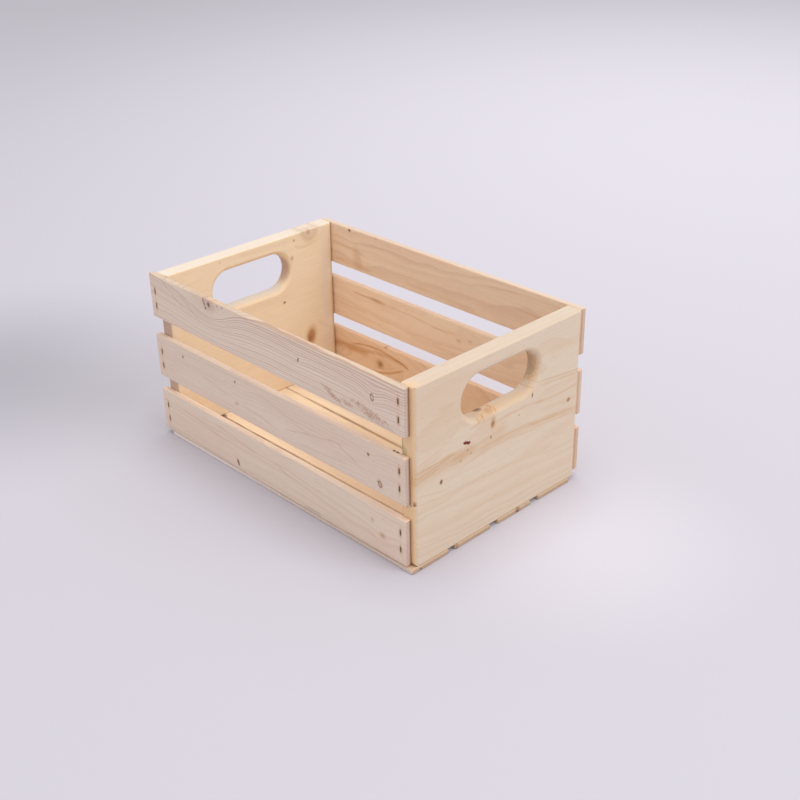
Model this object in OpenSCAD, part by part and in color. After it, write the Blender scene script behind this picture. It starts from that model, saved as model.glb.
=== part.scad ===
// Slatted pine storage crate: two solid end boards with handle slots,
// three slats along each side and four under the floor, all stapled on.
// X runs along the crate, Y across it and Z up from the surface it stands on.

/* [End boards] */
// Length of the crate over the outer faces of its two end boards
box_l = 406; // [300:1:560]
// Width of an end board
board_w = 242.5; // [200:0.5:320]
// Height of an end board
board_h = 196.5; // [180:0.5:260]
// Thickness of an end board
board_t = 19; // [16:0.5:25]
// Radius on an end board's four upright edges
board_round = 4; // [1:0.5:6]
// Radius on its long top and bottom edges
board_arris = 1.5; // [0.5:0.25:3]
// Radius of its two top corners, seen from the end
board_top_corner = 2; // [1:0.5:6]
// Radius of its two bottom corners, seen from the end
board_bottom_corner = 5; // [1:0.5:8]

/* [Handle slots] */
// Length of the slot at its narrowest
slot_l = 110; // [80:1:130]
// Height of the slot at its narrowest
slot_h = 45; // [30:1:50]
// Wood left between the slot and the board's top edge
slot_below_top = 19; // [15:0.5:40]
// Distance of each slot from the middle of the board, left end then right end
slot_off_centre = [-3.5, -0.5]; // [-8:0.5:8]
// Radius worked round both mouths of the slot
slot_round = 8; // [3:0.5:8]
// How shallow the rounding cutter was set, which leaves a faint edge
slot_round_lip = 0.3; // [0.2:0.05:0.6]

/* [Side slats] */
// Width of a side slat
side_slat_w = 52; // [40:1:56]
// Thickness of a side slat
side_slat_t = 7; // [5:0.5:10]
// How much shorter a side slat is than the crate
side_slat_short = 2; // [0:0.5:8]
// How far the front slats were nailed on towards the left end
front_slide = 5; // [0:0.5:6]
// How far the back slats were nailed on towards the left end
back_slide = 0; // [0:0.5:6]
// Height of the lowest front slat above the end boards' bottom edge
front_rise = 1.5; // [0:0.5:8]
// Height of the lowest back slat above the end boards' bottom edge
back_rise = 5.5; // [0:0.5:8]
// How far the middle front slat sits below the middle of its space
front_middle_drop = 2.5; // [0:0.5:5]
// How far the middle back slat sits below the middle of its space
back_middle_drop = 1; // [0:0.5:5]
// Radius on the long edges of every slat
slat_arris = 0.9; // [0.3:0.1:2]

/* [Floor slats] */
// Width of a floor slat
floor_slat_w = 51.5; // [40:0.5:56]
// Thickness of a floor slat
floor_slat_t = 5; // [4:0.5:9]
// How much shorter a floor slat is than the crate
floor_slat_short = 6; // [2:0.5:12]
// How far the floor slats were nailed on towards the right end
floor_slide = 4; // [0:0.5:5]
// Inset of the first floor slat from the front side slats' outer face
floor_front_inset = 0.8; // [0:0.1:6]
// Inset of the last floor slat from the end boards' back edge
floor_back_inset = 8.3; // [2:0.1:14]
// How far each floor slat sits in front of its even spacing
floor_drift = [0, 2, 1, 0]; // [0:0.5:4]

/* [Staples] */
// Outer width of a staple's crown
staple_crown = 6; // [5:0.5:10]
// Width of its wire
staple_wire_w = 1.2; // [0.8:0.1:1.6]
// Thickness of its wire
staple_wire_t = 1; // [0.7:0.1:1.3]
// Length of its legs, crown included
staple_leg = 16; // [12:1:16]
// How far the crown is driven below the face of the slat
staple_sink = 0.6; // [0.2:0.1:1]
// Heights of the two staples in a slat's left end, from the slat's lower edge
staple_rows_left = [15, 32.5]; // [10:1:40]
// Heights of the two staples in a slat's right end, from the slat's lower edge
staple_rows_right = [17, 36.5]; // [10:1:40]
// Distance of the front staples from the end boards' middle, towards the left
front_staple_offset = 4.5; // [0:0.5:5]
// Distance of the floor staples from the end boards' middle, towards the right
floor_staple_offset = 3.5; // [0:0.5:5]
// Clearance of the wood round a staple's wire
staple_fit = 0.05; // [0.02:0.01:0.1]

/* [Hidden] */
$fn = 48;
// Extra reach that lets a cut run clear of the face it leaves
cut_over = 1;

SIDE_ROWS = ["bottom", "middle", "top"];

pine = [0.87, 0.78, 0.64];
rough_pine = [0.84, 0.74, 0.65];
steel = [0.55, 0.54, 0.52];

// Lengths and resting places along X, before the whole is centred
side_slat_l = box_l - side_slat_short;
floor_slat_l = box_l - floor_slat_short;
left_tip = min(-box_l / 2, -side_slat_l / 2 - front_slide, -floor_slat_l / 2 + floor_slide);
right_tip = max(box_l / 2, side_slat_l / 2 - back_slide, floor_slat_l / 2 + floor_slide);
// Moves the crate so that the middle of its full length is over the origin
centre_x = -(left_tip + right_tip) / 2;
board_mid_x = box_l / 2 - board_t / 2;

// Heights
board_bottom = floor_slat_t;
board_top = board_bottom + board_h;
slot_mid_z = board_top - slot_below_top - slot_h / 2;
side_face_y = board_w / 2;
top_slat_z = board_top - side_slat_w;

// Lower edges of a side's three slats, from the rise and the drop of its middle one
function side_slat_levels(rise, drop) = [
    board_bottom + rise,
    (board_bottom + rise + top_slat_z) / 2 - drop,
    top_slat_z
];
front_levels = side_slat_levels(front_rise, front_middle_drop);
back_levels = side_slat_levels(back_rise, back_middle_drop);

// Front edges of the four floor slats
floor_count = len(floor_drift);
floor_first_y = -side_face_y - side_slat_t + floor_front_inset;
floor_last_y = side_face_y - floor_back_inset - floor_slat_w;
floor_pitch = (floor_last_y - floor_first_y) / (floor_count - 1);
floor_edges = [for (i = [0:floor_count - 1]) floor_first_y + i * floor_pitch - floor_drift[i]];

// Where the crown's inner face lies, in from a slat's face
crown_depth = staple_sink + staple_wire_t;

// A rectangle from the origin with its own radius at the low and the high corners
module eased_rectangle(size, low_r, high_r) {
    translate([low_r, 0]) square([size.x - 2 * low_r, size.y - high_r]);
    translate([0, low_r]) square([size.x, size.y - low_r - high_r]);
    translate([high_r, low_r]) square([size.x - 2 * high_r, size.y - low_r]);
    for (side = [0, 1]) {
        translate([side ? size.x - low_r : low_r, low_r]) circle(low_r);
        translate([side ? size.x - high_r : high_r, size.y - high_r]) circle(high_r);
    }
}

// One staple or the room that the wood leaves for it: crown along Z, legs along +Y
// from the slat's face at y = 0. grow is the clearance and reach_out opens the crown's
// recess through the face.
module staple_wire(grow = 0, reach_out = 0) {
    wire_w = staple_wire_w + 2 * grow;
    front = reach_out > 0 ? -reach_out : staple_sink;
    translate([-wire_w / 2, front, -staple_crown / 2 - grow])
        cube([wire_w, crown_depth + grow - front, staple_crown + 2 * grow]);
    for (up = [-1, 1])
        translate([
            -wire_w / 2,
            staple_sink,
            up * (staple_crown - staple_wire_t) / 2 - staple_wire_t / 2 - grow
        ])
            cube([wire_w, staple_leg + grow, staple_wire_t + 2 * grow]);
}

// Copies its child to the two staples at one end of a side slat.
// end is -1 at the left and 1 at the right, side is -1 at the front and 1 at the back.
module at_side_staples(end, side, level) {
    rows = end < 0 ? staple_rows_left : staple_rows_right;
    offset_x = side < 0 ? front_staple_offset : 0;
    for (row = rows)
        translate([
            centre_x + end * board_mid_x - offset_x,
            side * (side_face_y + side_slat_t),
            level + row
        ])
            mirror([0, side < 0 ? 0 : 1, 0]) children();
}

// Copies its child to the two staples at one end of a floor slat, turned to drive up
module at_floor_staples(end, edge_y) {
    rows = end < 0 ? staple_rows_left : staple_rows_right;
    for (row = rows)
        translate([centre_x + end * board_mid_x + floor_staple_offset, edge_y + row, 0])
            rotate([90, 0, 0]) children();
}

// The stadium-shaped hand hole with both mouths rounded, along X about the origin
module handle_slot() {
    half_h = slot_h / 2;
    mouth = slot_round;
    arc_x = board_t / 2 - slot_round + slot_round_lip;
    straight = slot_l - slot_h;
    module half_section() {
        difference() {
            translate([0, -board_t / 2 - cut_over])
                square([half_h + mouth, board_t + 2 * cut_over]);
            translate([half_h, -arc_x]) square([mouth + cut_over, 2 * arc_x]);
            for (face = [-1, 1]) translate([half_h + mouth, face * arc_x]) circle(slot_round);
        }
    }
    rotate([0, 90, 0]) {
        for (end = [-1, 1])
            translate([0, end * straight / 2, 0])
                rotate([0, 0, end * 90 - 90]) rotate_extrude(angle = 180) half_section();
        translate([0, straight / 2, 0]) rotate([90, 0, 0])
            linear_extrude(straight) {
                half_section();
                mirror([1, 0]) half_section();
            }
    }
}

// The board before it is bored: one outline for each of the three views, taken together
module board_blank() {
    intersection() {
        translate([-board_t / 2, -board_w / 2, board_bottom])
            linear_extrude(board_h) eased_rectangle([board_t, board_w], board_round, board_round);
        translate([-board_t, -board_w / 2, board_bottom]) rotate([90, 0, 90])
            linear_extrude(2 * board_t)
                eased_rectangle([board_w, board_h], board_bottom_corner, board_top_corner);
        translate([-board_t / 2, board_w, board_bottom]) rotate([90, 0, 0])
            linear_extrude(2 * board_w) eased_rectangle([board_t, board_h], board_arris, board_arris);
    }
}

// end is -1 for the left board and 1 for the right one
module end_board(end) {
    slot_y = slot_off_centre[end < 0 ? 0 : 1];
    color(pine) difference() {
        translate([centre_x + end * board_mid_x, 0, 0]) difference() {
            board_blank();
            translate([0, slot_y, slot_mid_z]) handle_slot();
        }
        for (level = front_levels) at_side_staples(end, -1, level) staple_wire(staple_fit);
        for (level = back_levels) at_side_staples(end, 1, level) staple_wire(staple_fit);
        for (edge = floor_edges) at_floor_staples(end, edge) staple_wire(staple_fit);
    }
}

// side is -1 for the front and 1 for the back
module side_slat(side, level) {
    slide = side < 0 ? front_slide : back_slide;
    color(rough_pine) difference() {
        translate([
            centre_x - side_slat_l / 2 - slide,
            side < 0 ? -side_face_y - side_slat_t : side_face_y,
            level
        ])
            rotate([90, 0, 90]) linear_extrude(side_slat_l)
                eased_rectangle([side_slat_t, side_slat_w], slat_arris, slat_arris);
        for (end = [-1, 1])
            at_side_staples(end, side, level) staple_wire(staple_fit, cut_over);
    }
}

module floor_slat(edge_y) {
    color(rough_pine) difference() {
        translate([centre_x - floor_slat_l / 2 + floor_slide, edge_y, 0])
            rotate([90, 0, 90]) linear_extrude(floor_slat_l)
                eased_rectangle([floor_slat_w, floor_slat_t], slat_arris, slat_arris);
        for (end = [-1, 1]) at_floor_staples(end, edge_y) staple_wire(staple_fit, cut_over);
    }
}

module side_staples() {
    color(steel) for (end = [-1, 1]) {
        for (level = front_levels) at_side_staples(end, -1, level) staple_wire();
        for (level = back_levels) at_side_staples(end, 1, level) staple_wire();
    }
}

module floor_staples() {
    color(steel) for (end = [-1, 1], edge = floor_edges) at_floor_staples(end, edge) staple_wire();
}

end_board(-1);  // end_board_left
end_board(1);  // end_board_right
for (row = [0:2]) {
    side_slat(-1, front_levels[row]);
    side_slat(1, back_levels[row]);
}
for (i = [0:floor_count - 1])
    floor_slat(floor_edges[i]);
side_staples();
floor_staples();
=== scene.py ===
import math

import bpy
import bmesh
from mathutils import Matrix, Vector


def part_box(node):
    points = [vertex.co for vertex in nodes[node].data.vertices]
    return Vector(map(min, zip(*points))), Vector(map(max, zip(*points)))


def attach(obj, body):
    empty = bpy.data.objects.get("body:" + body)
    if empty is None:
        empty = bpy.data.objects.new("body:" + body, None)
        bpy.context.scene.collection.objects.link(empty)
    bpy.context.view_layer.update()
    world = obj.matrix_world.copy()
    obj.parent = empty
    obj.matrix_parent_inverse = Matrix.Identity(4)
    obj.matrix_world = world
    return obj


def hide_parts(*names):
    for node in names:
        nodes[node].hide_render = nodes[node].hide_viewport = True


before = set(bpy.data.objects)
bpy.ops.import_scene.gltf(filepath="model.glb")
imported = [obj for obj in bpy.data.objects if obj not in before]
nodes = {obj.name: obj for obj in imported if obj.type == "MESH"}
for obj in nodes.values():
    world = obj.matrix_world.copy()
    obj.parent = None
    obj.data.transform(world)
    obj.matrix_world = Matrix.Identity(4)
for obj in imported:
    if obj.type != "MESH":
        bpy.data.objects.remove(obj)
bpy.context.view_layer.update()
mm = 0.001
print("frame loaded:", len(nodes), "nodes")


# camera: where the photographer stood, worked out from the crate's own corners

cameraView = {
    "place": (0.8917, -0.7982, 0.7009),   # metres, in the crate's frame
    "azimuth": 46.19,                     # degrees round from the front slats towards the right end
    "elevation": 27.9,
    "roll": -1.052,
    "lens": 54.55,                        # mm on a 36 mm sensor
}


def placeCamera(view):
    data = bpy.data.cameras.new("photoCamera")
    data.sensor_width = 36
    data.lens = view["lens"]
    data.clip_start, data.clip_end = 0.02, 60
    azimuth, elevation = math.radians(view["azimuth"]), math.radians(view["elevation"])
    back = Vector((
        math.sin(azimuth) * math.cos(elevation),
        -math.cos(azimuth) * math.cos(elevation),
        math.sin(elevation),
    ))
    right = Vector((math.cos(azimuth), math.sin(azimuth), 0))
    up = back.cross(right)
    turn = math.radians(view["roll"])
    rightTurned = right * math.cos(turn) + up * math.sin(turn)
    upTurned = up * math.cos(turn) - right * math.sin(turn)
    camera = bpy.data.objects.new("photoCamera", data)
    camera.matrix_world = Matrix.Translation(view["place"]) @ Matrix((
        (rightTurned.x, upTurned.x, back.x),
        (rightTurned.y, upTurned.y, back.y),
        (rightTurned.z, upTurned.z, back.z),
    )).to_4x4()
    bpy.context.scene.collection.objects.link(camera)
    bpy.context.scene.camera = camera
    print("camera placed")


placeCamera(cameraView)


# laying nodes

class Bench:
    # lays nodes in a tree and joins them; a value may be a socket or a plain number, vector or colour

    def __init__(self, tree):
        self.tree = tree
        self.laid = 0

    def add(self, kind, given=None, **settings):
        node = self.tree.nodes.new(kind)
        node.location = ((self.laid % 12) * 190, -(self.laid // 12) * 260)
        self.laid += 1
        for key, value in settings.items():
            setattr(node, key, value)
        for name, value in (given or {}).items():
            self.feed(node.inputs[name], value)
        return node

    def feed(self, socket, value):
        if value is None:
            return
        if isinstance(value, bpy.types.NodeSocket):
            self.tree.links.new(value, socket)
        else:
            socket.default_value = value

    def calc(self, operation, first, second=None, third=None, clamp=False):
        node = self.add("ShaderNodeMath", operation=operation, use_clamp=clamp)
        for socket, value in zip(node.inputs, (first, second, third)):
            self.feed(socket, value)
        return node.outputs[0]

    def plus(self, first, second):
        return self.calc("ADD", first, second)

    def minus(self, first, second):
        return self.calc("SUBTRACT", first, second)

    def times(self, first, second):
        return self.calc("MULTIPLY", first, second)

    def over(self, first, second):
        return self.calc("DIVIDE", first, second)

    def timesPlus(self, first, second, third, clamp=False):
        return self.calc("MULTIPLY_ADD", first, second, third, clamp)

    def vec(self, operation, first, second=None, scale=None):
        node = self.add("ShaderNodeVectorMath", operation=operation)
        self.feed(node.inputs[0], first)
        self.feed(node.inputs[1], second)
        self.feed(node.inputs[3], scale)
        return node.outputs["Value"] if operation in ("LENGTH", "DISTANCE", "DOT_PRODUCT") else node.outputs[0]

    def stretch(self, at, factors):
        return self.vec("MULTIPLY", at, factors)

    def ramp(self, value, low, high, toLow=0.0, toHigh=1.0, smooth=True):
        return self.add("ShaderNodeMapRange", {
            "Value": value, "From Min": low, "From Max": high, "To Min": toLow, "To Max": toHigh,
        }, interpolation_type="SMOOTHSTEP" if smooth else "LINEAR").outputs["Result"]

    def fade(self, value, near, far):
        return self.ramp(value, near, far, 1.0, 0.0)

    def turned(self, along, across, angle):
        cosine, sine = self.calc("COSINE", angle), self.calc("SINE", angle)
        u = self.plus(self.times(along, cosine), self.times(across, sine))
        return u, self.minus(self.times(across, cosine), self.times(along, sine))

    def split(self, vector):
        return tuple(self.add("ShaderNodeSeparateXYZ", {"Vector": vector}).outputs)

    def gather(self, x, y, z):
        return self.add("ShaderNodeCombineXYZ", {"X": x, "Y": y, "Z": z}).outputs[0]

    def noise(self, vector, scale=1.0, detail=2.0, roughness=0.5, seed=0.0):
        return self.add("ShaderNodeTexNoise", {
            "Vector": vector, "W": seed, "Scale": scale, "Detail": detail, "Roughness": roughness,
        }, noise_dimensions="4D").outputs[0]

    def tint(self, amount, below, above, mode="MIX"):
        node = self.add("ShaderNodeMix", data_type="RGBA", blend_type=mode)
        for socket, value in zip((node.inputs[0], node.inputs[6], node.inputs[7]), (amount, below, above)):
            self.feed(socket, value)
        return node.outputs[2]

    def use(self, group, **given):
        return self.add("ShaderNodeGroup", given, node_tree=group).outputs


def kindOf(value):
    if isinstance(value, tuple):
        return "Vector" if len(value) == 3 else "Color"
    return "Int" if isinstance(value, int) else "Float"


def newTree(name, kind, takes, gives):
    # an empty node group with its named sockets; takes gives each input its first value, or its kind if it has none
    tree = bpy.data.node_groups.new(name, kind)
    for label, value in takes.items():
        bare = isinstance(value, str)
        socketType = "NodeSocket" + (value if bare else kindOf(value))
        socket = tree.interface.new_socket(label, in_out="INPUT", socket_type=socketType)
        if not bare:
            socket.default_value = value
    for label, socketKind in gives:
        tree.interface.new_socket(label, in_out="OUTPUT", socket_type="NodeSocket" + socketKind)
    bench = Bench(tree)
    return tree, bench, bench.add("NodeGroupInput").outputs, bench.add("NodeGroupOutput").inputs


# pine: node groups that every plank shares; a plank's own frame is (along the grain, depth, across), in mm

def makeKnotGroup():
    # one knot: it adds to what the knots before it gave, so that knots can be chained
    tree, bench, given, out = newTree("pineKnot", "ShaderNodeTree", {
        "At": (0, 0, 0), "Centre": (0, 0, 0), "Half Length": 3.0, "Half Width": 3.0, "Turn": 0.0, "Push": 0.0,
        "Reach": 20.0, "Core": 1.0, "Rim": 1.0, "Stain": 1.0, "Lift Before": 0.0, "Core Before": 0.0,
        "Rim Before": 0.0, "Stain Before": 0.0,
    }, [("Lift", "Float"), ("Core", "Float"), ("Rim", "Float"), ("Stain", "Float")])
    away = bench.vec("SUBTRACT", given["At"], given["Centre"])
    along, depth, across = bench.split(away)
    u, v = bench.turned(along, across, given["Turn"])
    wobble = bench.noise(given["At"], scale=0.6, detail=3.0, roughness=0.6)
    flat = bench.gather(bench.over(u, given["Half Length"]), bench.over(v, given["Half Width"]), 0)
    near = bench.plus(bench.vec("LENGTH", flat), bench.timesPlus(wobble, 1.0, -0.5))
    core = bench.fade(near, 0.5, 1.15)
    rim = bench.times(bench.ramp(near, 0.45, 0.95), bench.fade(near, 0.95, 1.4))
    stain = bench.fade(near, 0.7, 2.8)
    spread = bench.over(bench.vec("LENGTH", bench.gather(bench.times(u, 0.8), v, 0.0)), given["Reach"])
    fall = bench.calc("EXPONENT", bench.times(bench.times(spread, spread), -1.0))
    bench.feed(out["Lift"], bench.timesPlus(fall, given["Push"], given["Lift Before"]))
    for label, mask in (("Core", core), ("Rim", rim), ("Stain", stain)):
        bench.feed(out[label], bench.calc("MAXIMUM", bench.times(mask, given[label]), given[label + " Before"]))
    return tree


def makeStreakGroup():
    # a soft line or band of darker wood from one spot to another, bulging to one side; streaks can be chained
    tree, bench, given, out = newTree("pineStreak", "ShaderNodeTree", {
        "At": (0, 0, 0), "From": (0, 0, 0), "To": (0, 0, 0), "Bulge": 0.0, "Half Width": 1.5, "Strength": 0.4,
        "Waver": 2.4, "Streak Before": 0.0,
    }, [("Streak", "Float")])
    along, depth, across = bench.split(given["At"])
    fromAlong, fromDepth, fromAcross = bench.split(given["From"])
    toAlong, toDepth, toAcross = bench.split(given["To"])
    part = bench.over(bench.minus(along, fromAlong), bench.minus(toAlong, fromAlong))
    ends = bench.times(bench.ramp(part, -0.03, 0.16), bench.fade(part, 0.84, 1.03))
    hump = bench.times(bench.times(part, bench.minus(1.0, part)), 4.0)
    line = bench.timesPlus(part, bench.minus(toAcross, fromAcross), fromAcross)
    line = bench.timesPlus(hump, given["Bulge"], line)
    waver = bench.noise(bench.stretch(given["At"], (0.06, 0.1, 0.12)), detail=2.0)
    line = bench.timesPlus(bench.minus(waver, 0.5), given["Waver"], line)
    off = bench.over(bench.calc("ABSOLUTE", bench.minus(across, line)), given["Half Width"])
    blotches = bench.noise(bench.stretch(given["At"], (0.05, 0.3, 0.4)), detail=2.0)
    patchy = bench.ramp(blotches, 0.3, 0.6, 0.6, 1.0)
    mask = bench.times(bench.times(bench.fade(off, 0.0, 1.0), ends), given["Strength"])
    mask = bench.times(mask, patchy)
    left = bench.minus(1.0, given["Streak Before"])
    bench.feed(out["Streak"], bench.timesPlus(mask, left, given["Streak Before"]))
    return tree


def makeTornGroup():
    # a patch where the saw lifted the grain: short crossing hairs of darker wood
    tree, bench, given, out = newTree("tornGrain", "ShaderNodeTree", {
        "At": (0, 0, 0), "Centre": (0, 0, 0), "Half Length": 20.0, "Half Width": 4.0, "Turn": 0.0, "Strength": 0.6,
        "Torn Before": 0.0,
    }, [("Torn", "Float")])
    along, depth, across = bench.split(bench.vec("SUBTRACT", given["At"], given["Centre"]))
    u, v = bench.turned(along, across, given["Turn"])
    flat = bench.gather(bench.over(u, given["Half Length"]), bench.over(v, given["Half Width"]), 0)
    ragged = bench.noise(given["At"], scale=0.22, detail=3.0, roughness=0.6)
    near = bench.timesPlus(bench.minus(ragged, 0.5), 1.6, bench.vec("LENGTH", flat))
    hairs = bench.noise(bench.gather(bench.times(u, 0.45), bench.times(v, 1.9), depth), detail=1.0)
    slope = bench.plus(bench.times(u, 0.64), bench.times(v, 0.77))
    steep = bench.minus(bench.times(v, 0.64), bench.times(u, 0.77))
    cross = bench.noise(bench.gather(bench.times(slope, 0.25), bench.times(steep, 1.3), depth), detail=1.0)
    hatch = bench.calc("MAXIMUM", bench.times(bench.ramp(hairs, 0.5, 0.62), 0.6), bench.ramp(cross, 0.48, 0.58))
    mask = bench.times(bench.fade(near, 0.4, 1.15), bench.timesPlus(hatch, 0.8, 0.2))
    bench.feed(out["Torn"], bench.calc("MAXIMUM", bench.times(mask, given["Strength"]), given["Torn Before"]))
    return tree


def makeSmudgeGroup():
    # a soft mark in a colour of its own round one spot of the wood: resin, mould, a speck, a warmer patch, and in
    # places painted shade and a painted highlight
    tree, bench, given, out = newTree("woodSmudge", "ShaderNodeTree", {
        "Color": (1, 1, 1, 1), "At": (0, 0, 0), "Centre": (0, 0, 0), "Half Size": (3, 3, 3),
        "Mark": (0.3, 0.13, 0.05, 1), "Strength": 0.5,
    }, [("Color", "Color")])
    away = bench.vec("DIVIDE", bench.vec("SUBTRACT", given["At"], given["Centre"]), given["Half Size"])
    ragged = bench.noise(given["At"], scale=0.6, detail=3.0, roughness=0.6)
    near = bench.plus(bench.vec("LENGTH", away), bench.timesPlus(ragged, 1.0, -0.5))
    mask = bench.times(bench.fade(near, 0.4, 1.15), given["Strength"])
    bench.feed(out["Color"], bench.tint(mask, given["Color"], given["Mark"]))
    return tree


def makeGrainGroup():
    # growth rings round a heart that lies off the plank, bent by the knots' lift, with the fibres between them
    tree, bench, given, out = newTree("pineGrain", "ShaderNodeTree", {
        "At": (0, 0, 0), "Heart Depth": 60.0, "Heart Across": 0.0, "Slant": 0.0, "Dive": 0.0, "Ring Gap": 3.0,
        "Wander": 2.0, "Lift": 0.0, "Seed": 0.0,
    }, [("Latewood", "Float"), ("Bands", "Float"), ("Fibres", "Float"), ("Dashes", "Float")])
    along, depth, across = bench.split(given["At"])
    slow = bench.noise(bench.stretch(given["At"], (0.006, 0.02, 0.022)), detail=2.0, seed=given["Seed"])
    ripple = bench.noise(bench.stretch(given["At"], (0.03, 0.06, 0.075)), detail=2.0, seed=given["Seed"])
    heartAcross = bench.timesPlus(along, given["Slant"], given["Heart Across"])
    heartDepth = bench.timesPlus(along, given["Dive"], given["Heart Depth"])
    acrossHeart = bench.plus(bench.minus(across, heartAcross), given["Lift"])
    depthHeart = bench.minus(depth, heartDepth)
    radius = bench.vec("LENGTH", bench.gather(acrossHeart, depthHeart, 0.0))
    radius = bench.timesPlus(bench.minus(slow, 0.5), bench.times(given["Wander"], 5.0), radius)
    radius = bench.timesPlus(bench.minus(ripple, 0.5), given["Wander"], radius)
    count = bench.over(radius, given["Ring Gap"])
    pace = bench.noise(bench.gather(bench.times(count, 0.21), 0.0, 0.0), detail=1.0, seed=given["Seed"])
    count = bench.timesPlus(pace, 4.0, count)
    ring, part = bench.calc("FLOOR", count), bench.calc("FRACT", count)
    ringSeed = bench.gather(ring, given["Seed"], 0.0)
    own = bench.add("ShaderNodeTexWhiteNoise", {"Vector": ringSeed}, noise_dimensions="2D")
    late = bench.times(bench.ramp(part, 0.2, 0.9), bench.fade(part, 0.9, 1.0))
    bench.feed(out["Latewood"], bench.times(late, bench.ramp(own.outputs["Value"], 0.0, 1.0, 0.25, 1.0, False)))
    bench.feed(out["Bands"], bench.noise(
        bench.stretch(given["At"], (0.0035, 0.03, 0.03)), detail=2.0, roughness=0.6,
        seed=bench.plus(given["Seed"], 31.0)))
    bench.feed(out["Fibres"], bench.noise(
        bench.stretch(given["At"], (0.02, 1.1, 1.1)), detail=4.0, roughness=0.65, seed=given["Seed"]))
    short = bench.noise(bench.stretch(given["At"], (0.14, 1.6, 1.6)), detail=1.0, seed=given["Seed"])
    bench.feed(out["Dashes"], bench.ramp(short, 0.66, 0.76))
    return tree


def makeToneGroup():
    # the wood's colour, roughness and relief from the figure and the knots, with painted shade in the seams and painted
    # light and shade on the edge and end-grain faces
    tree, bench, given, out = newTree("pineTone", "ShaderNodeTree", {
        "At": (0, 0, 0), "Latewood": 0.0, "Bands": 0.5, "Fibres": 0.5, "Dashes": 0.0, "Core": 0.0, "Rim": 0.0,
        "Stain": 0.0, "Streak": 0.0, "Torn": 0.0, "Facing": (0, 0, 0), "Seam Depth": 1000.0, "Seam": 0.9,
        "Early": (0.8, 0.68, 0.5, 1), "Late": (0.68, 0.48, 0.3, 1), "Blush": (0.78, 0.6, 0.46, 1),
        "Knot": (0.3, 0.13, 0.05, 1), "Knot Rim": (0.12, 0.05, 0.02, 1), "Resin": (0.62, 0.35, 0.14, 1),
        "Streak Wood": (0.62, 0.36, 0.17, 1), "Cut Wood And Painted Light": (0.9, 0.8, 0.64, 1), "Edge Wood And Painted Light": (1, 1, 1, 1),
        "Arris Wood": (1.0, 0.88, 0.7, 1), "Ring Contrast": 0.6, "Blush Amount": 0.5, "Saw Marks": 0.0, "Nap": 0.3,
    }, [("Color", "Color"), ("Roughness", "Float"), ("Height", "Float")])
    facing = bench.vec("ABSOLUTE", given["Facing"])
    endOn, faceOn, edgeOn = bench.split(facing)
    cut = bench.ramp(endOn, 0.5, 0.95)
    blush = bench.times(bench.ramp(given["Bands"], 0.38, 0.66), given["Blush Amount"])
    colour = bench.tint(blush, given["Early"], given["Blush"])
    contrast = bench.times(given["Ring Contrast"], bench.timesPlus(cut, -0.65, 1.0))
    colour = bench.tint(bench.times(given["Latewood"], contrast), colour, given["Late"])
    streak = bench.ramp(given["Fibres"], 0.3, 0.72, 1.05, 0.93, False)
    colour = bench.tint(1.0, colour, bench.gather(streak, streak, streak), "MULTIPLY")
    colour = bench.tint(bench.times(given["Dashes"], 0.3), colour, given["Knot"])
    colour = bench.tint(given["Streak"], colour, given["Streak Wood"])
    colour = bench.tint(given["Stain"], colour, given["Resin"])
    colour = bench.tint(given["Torn"], colour, (0.46, 0.25, 0.16, 1))
    square = bench.calc("MAXIMUM", bench.calc("MAXIMUM", endOn, faceOn), edgeOn)
    colour = bench.tint(bench.ramp(square, 0.78, 0.97, 0.7, 0.0), colour, given["Arris Wood"], "MULTIPLY")
    # painted light and shade: faces across the grain, the top and bottom edges, take their own paler sawn colour and,
    # plank by plank, a lighter tint where they stand in shade and a darker one where the lamps fall full on them
    colour = bench.tint(bench.ramp(edgeOn, 0.6, 0.95), colour, given["Edge Wood And Painted Light"], "MULTIPLY")
    # end grain takes its own colour, and on some planks painted light and shade too
    colour = bench.tint(cut, colour, given["Cut Wood And Painted Light"], "MULTIPLY")
    # painted shade: a dark brown band on the end grain where a slat's end meets an end board, for the dark joint and
    # the shadow in the gap between them
    fromSeam = bench.calc("ABSOLUTE", bench.minus(bench.split(given["At"])[1], given["Seam Depth"]))
    seamShade = bench.times(bench.times(bench.fade(fromSeam, 1.1, 3.8), cut), given["Seam"])
    colour = bench.tint(seamShade, colour, (0.27, 0.12, 0.055, 1))
    grown = bench.noise(bench.stretch(given["At"], (1.1, 1.1, 1.1)), detail=3.0)
    coreColour = bench.tint(bench.ramp(grown, 0.35, 0.7), given["Knot"], given["Knot Rim"])
    colour = bench.tint(given["Core"], colour, coreColour)
    colour = bench.tint(given["Rim"], colour, given["Knot Rim"])
    bench.feed(out["Color"], colour)
    rough = bench.timesPlus(given["Fibres"], 0.2, 0.6)
    bench.feed(out["Roughness"], bench.timesPlus(given["Core"], -0.2, rough, clamp=True))
    along, depth, across = bench.split(given["At"])
    tooth = bench.noise(bench.gather(along, bench.times(depth, 0.05), bench.times(across, 0.05)), scale=0.9, detail=2.0)
    fuzz = bench.noise(bench.stretch(given["At"], (0.5, 2.2, 2.2)), detail=3.0, roughness=0.7)
    height = bench.timesPlus(given["Latewood"], 0.25, bench.times(given["Fibres"], 0.5))
    height = bench.timesPlus(tooth, given["Saw Marks"], height)
    height = bench.timesPlus(fuzz, given["Nap"], height)
    height = bench.timesPlus(given["Rim"], -0.6, height)
    bench.feed(out["Height"], height)
    return tree


knotGroup, streakGroup, tornGroup, smudgeGroup = makeKnotGroup(), makeStreakGroup(), makeTornGroup(), makeSmudgeGroup()
grainGroup, toneGroup = makeGrainGroup(), makeToneGroup()
print("pine groups made")


# how each kind of plank is turned into its own frame
plankTurn = {
    "side": (0, 0, 0),                       # along X, depth Y, across Z
    "end": (0, 0, math.radians(-90)),        # along Y, depth -X, across Z
    "floor": (math.radians(90), 0, 0),       # along X, depth -Z, across Y
}

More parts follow.
